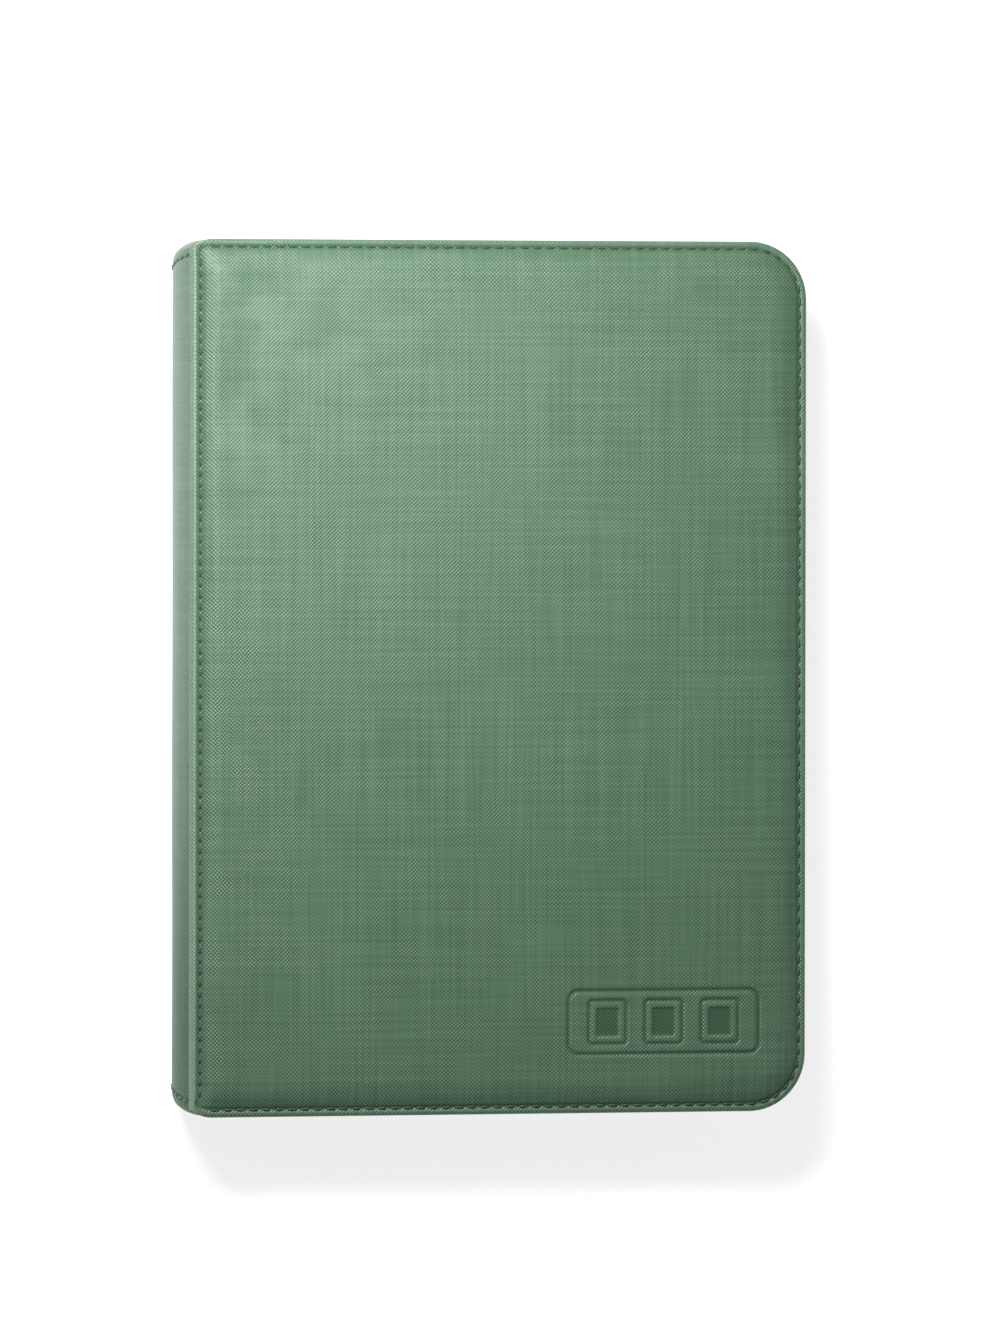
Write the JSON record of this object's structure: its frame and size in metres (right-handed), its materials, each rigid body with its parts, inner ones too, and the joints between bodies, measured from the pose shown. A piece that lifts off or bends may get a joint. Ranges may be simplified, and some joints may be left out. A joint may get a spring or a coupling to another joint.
{
  "type": "stamp album",
  "caption": "Zip-up collector's pocket album with padded sage-green covers, stitched rims, a crowned spine and clear pocket leaves, closed.",
  "frame": {"origin": "middle of the closed album's footprint, on the surface that its back cover lies on", "axes": "+X towards the fore edge, +Y towards the head, +Z out of the front cover"},
  "size_m": [0.2526, 0.345, 0.038],
  "materials": {
    "cover_leatherette": "fine woven grain, satin",
    "padding_foam": "soft foam",
    "grey_board": "matte",
    "lining_cloth": "fine black cloth",
    "thread": "twisted polyester",
    "zip_tape": "woven tape",
    "zip_teeth": "moulded coil",
    "zip_metal": "gunmetal",
    "leaf_sheet": "black sheet with clear film pockets"
  },
  "bodies": {
    "back_cover": {"back_skin": "cover_leatherette", "back_foam": "padding_foam", "back_board": "grey_board", "back_lining": "lining_cloth", "back_edge_stitching": "thread", "back_hinge_stitching": "thread", "back_zip_tape": "zip_tape", "back_zip_chain": "zip_teeth", "back_zip_stops": "zip_metal"},
    "spine": {"spine_skin": "cover_leatherette", "spine_foam": "padding_foam", "spine_board": "grey_board", "spine_lining": "lining_cloth", "spine_stitching": "thread", "binding_strip": "leaf_sheet", "leaf_stubs": "leaf_sheet"},
    "front_cover": {"front_skin": "cover_leatherette", "front_foam": "padding_foam", "front_board": "grey_board", "front_lining": "lining_cloth", "front_edge_stitching": "thread", "front_hinge_stitching": "thread", "front_zip_tape": "zip_tape", "front_zip_chain": "zip_teeth", "front_zip_stops": "zip_metal"},
    "zip_slider": {"zip_slider": "zip_metal"},
    "zip_pull": {"zip_pull": "zip_metal"},
    "leaf_01": {"leaf_01": "leaf_sheet"},
    "leaf_02": {"leaf_02": "leaf_sheet"},
    "leaf_03": {"leaf_03": "leaf_sheet"},
    "leaf_04": {"leaf_04": "leaf_sheet"},
    "leaf_05": {"leaf_05": "leaf_sheet"},
    "leaf_06": {"leaf_06": "leaf_sheet"},
    "leaf_07": {"leaf_07": "leaf_sheet"},
    "leaf_08": {"leaf_08": "leaf_sheet"},
    "leaf_09": {"leaf_09": "leaf_sheet"},
    "leaf_10": {"leaf_10": "leaf_sheet"},
    "leaf_11": {"leaf_11": "leaf_sheet"},
    "leaf_12": {"leaf_12": "leaf_sheet"},
    "leaf_13": {"leaf_13": "leaf_sheet"},
    "leaf_14": {"leaf_14": "leaf_sheet"},
    "leaf_15": {"leaf_15": "leaf_sheet"},
    "leaf_16": {"leaf_16": "leaf_sheet"},
    "leaf_17": {"leaf_17": "leaf_sheet"},
    "leaf_18": {"leaf_18": "leaf_sheet"},
    "leaf_19": {"leaf_19": "leaf_sheet"},
    "leaf_20": {"leaf_20": "leaf_sheet"}
  },
  "joints": [
    {"name": "album_open", "type": "hinge", "parent": "back_cover", "child": "spine", "pos_m": [-0.1237, 0, 0.0024], "axis": [0, -1, 0], "range_deg": [0, 90]},
    {"name": "front_cover_turn", "type": "hinge", "parent": "spine", "child": "front_cover", "pos_m": [-0.1237, 0, 0.0356], "axis": [0, -1, 0], "range_deg": [0, 90]},
    {"name": "leaf_01_turn", "type": "hinge", "parent": "spine", "child": "leaf_01", "pos_m": [-0.1186, 0, 0.00665], "axis": [0, 1, 0], "range_deg": [0, 90]},
    {"name": "leaf_02_turn", "type": "hinge", "parent": "spine", "child": "leaf_02", "pos_m": [-0.1177, 0, 0.00795], "axis": [0, 1, 0], "range_deg": [0, 90]},
    {"name": "leaf_03_turn", "type": "hinge", "parent": "spine", "child": "leaf_03", "pos_m": [-0.1168, 0, 0.00925], "axis": [0, 1, 0], "range_deg": [0, 90]},
    {"name": "leaf_04_turn", "type": "hinge", "parent": "spine", "child": "leaf_04", "pos_m": [-0.1159, 0, 0.01055], "axis": [0, 1, 0], "range_deg": [0, 90]},
    {"name": "leaf_05_turn", "type": "hinge", "parent": "spine", "child": "leaf_05", "pos_m": [-0.115, 0, 0.01185], "axis": [0, 1, 0], "range_deg": [0, 90]},
    {"name": "leaf_06_turn", "type": "hinge", "parent": "spine", "child": "leaf_06", "pos_m": [-0.1141, 0, 0.01315], "axis": [0, 1, 0], "range_deg": [0, 90]},
    {"name": "leaf_07_turn", "type": "hinge", "parent": "spine", "child": "leaf_07", "pos_m": [-0.1132, 0, 0.01445], "axis": [0, 1, 0], "range_deg": [0, 90]},
    {"name": "leaf_08_turn", "type": "hinge", "parent": "spine", "child": "leaf_08", "pos_m": [-0.1123, 0, 0.01575], "axis": [0, 1, 0], "range_deg": [0, 90]},
    {"name": "leaf_09_turn", "type": "hinge", "parent": "spine", "child": "leaf_09", "pos_m": [-0.1114, 0, 0.01705], "axis": [0, 1, 0], "range_deg": [0, 90]},
    {"name": "leaf_10_turn", "type": "hinge", "parent": "spine", "child": "leaf_10", "pos_m": [-0.1105, 0, 0.01835], "axis": [0, 1, 0], "range_deg": [0, 90]},
    {"name": "leaf_11_turn", "type": "hinge", "parent": "spine", "child": "leaf_11", "pos_m": [-0.1105, 0, 0.01965], "axis": [0, -1, 0], "range_deg": [0, 90]},
    {"name": "leaf_12_turn", "type": "hinge", "parent": "spine", "child": "leaf_12", "pos_m": [-0.1114, 0, 0.02095], "axis": [0, -1, 0], "range_deg": [0, 90]},
    {"name": "leaf_13_turn", "type": "hinge", "parent": "spine", "child": "leaf_13", "pos_m": [-0.1123, 0, 0.02225], "axis": [0, -1, 0], "range_deg": [0, 90]},
    {"name": "leaf_14_turn", "type": "hinge", "parent": "spine", "child": "leaf_14", "pos_m": [-0.1132, 0, 0.02355], "axis": [0, -1, 0], "range_deg": [0, 90]},
    {"name": "leaf_15_turn", "type": "hinge", "parent": "spine", "child": "leaf_15", "pos_m": [-0.1141, 0, 0.02485], "axis": [0, -1, 0], "range_deg": [0, 90]},
    {"name": "leaf_16_turn", "type": "hinge", "parent": "spine", "child": "leaf_16", "pos_m": [-0.115, 0, 0.02615], "axis": [0, -1, 0], "range_deg": [0, 90]},
    {"name": "leaf_17_turn", "type": "hinge", "parent": "spine", "child": "leaf_17", "pos_m": [-0.1159, 0, 0.02745], "axis": [0, -1, 0], "range_deg": [0, 90]},
    {"name": "leaf_18_turn", "type": "hinge", "parent": "spine", "child": "leaf_18", "pos_m": [-0.1168, 0, 0.02875], "axis": [0, -1, 0], "range_deg": [0, 90]},
    {"name": "leaf_19_turn", "type": "hinge", "parent": "spine", "child": "leaf_19", "pos_m": [-0.1177, 0, 0.03005], "axis": [0, -1, 0], "range_deg": [0, 90]},
    {"name": "leaf_20_turn", "type": "hinge", "parent": "spine", "child": "leaf_20", "pos_m": [-0.1186, 0, 0.03135], "axis": [0, -1, 0], "range_deg": [0, 90]},
    {"name": "zip_slide", "type": "slide", "parent": "back_cover", "child": "zip_slider", "axis": [1, 0, 0], "range_m": [0, 0.195]},
    {"name": "pull_swing", "type": "hinge", "parent": "zip_slider", "child": "zip_pull", "pos_m": [-0.1038, -0.1704, 0.019], "axis": [0, 0, -1], "range_deg": [0, 170]}
  ],
  "couplings": [
    {"joint": "front_cover_turn", "follows": "album_open", "ratio": 1},
    {"joint": "leaf_01_turn", "follows": "album_open", "ratio": 1},
    {"joint": "leaf_02_turn", "follows": "album_open", "ratio": 1},
    {"joint": "leaf_03_turn", "follows": "album_open", "ratio": 1},
    {"joint": "leaf_04_turn", "follows": "album_open", "ratio": 1},
    {"joint": "leaf_05_turn", "follows": "album_open", "ratio": 1},
    {"joint": "leaf_06_turn", "follows": "album_open", "ratio": 1},
    {"joint": "leaf_07_turn", "follows": "album_open", "ratio": 1},
    {"joint": "leaf_08_turn", "follows": "album_open", "ratio": 1},
    {"joint": "leaf_09_turn", "follows": "album_open", "ratio": 1},
    {"joint": "leaf_10_turn", "follows": "album_open", "ratio": 1},
    {"joint": "leaf_11_turn", "follows": "album_open", "ratio": 1},
    {"joint": "leaf_12_turn", "follows": "album_open", "ratio": 1},
    {"joint": "leaf_13_turn", "follows": "album_open", "ratio": 1},
    {"joint": "leaf_14_turn", "follows": "album_open", "ratio": 1},
    {"joint": "leaf_15_turn", "follows": "album_open", "ratio": 1},
    {"joint": "leaf_16_turn", "follows": "album_open", "ratio": 1},
    {"joint": "leaf_17_turn", "follows": "album_open", "ratio": 1},
    {"joint": "leaf_18_turn", "follows": "album_open", "ratio": 1},
    {"joint": "leaf_19_turn", "follows": "album_open", "ratio": 1},
    {"joint": "leaf_20_turn", "follows": "album_open", "ratio": 1}
  ]
}
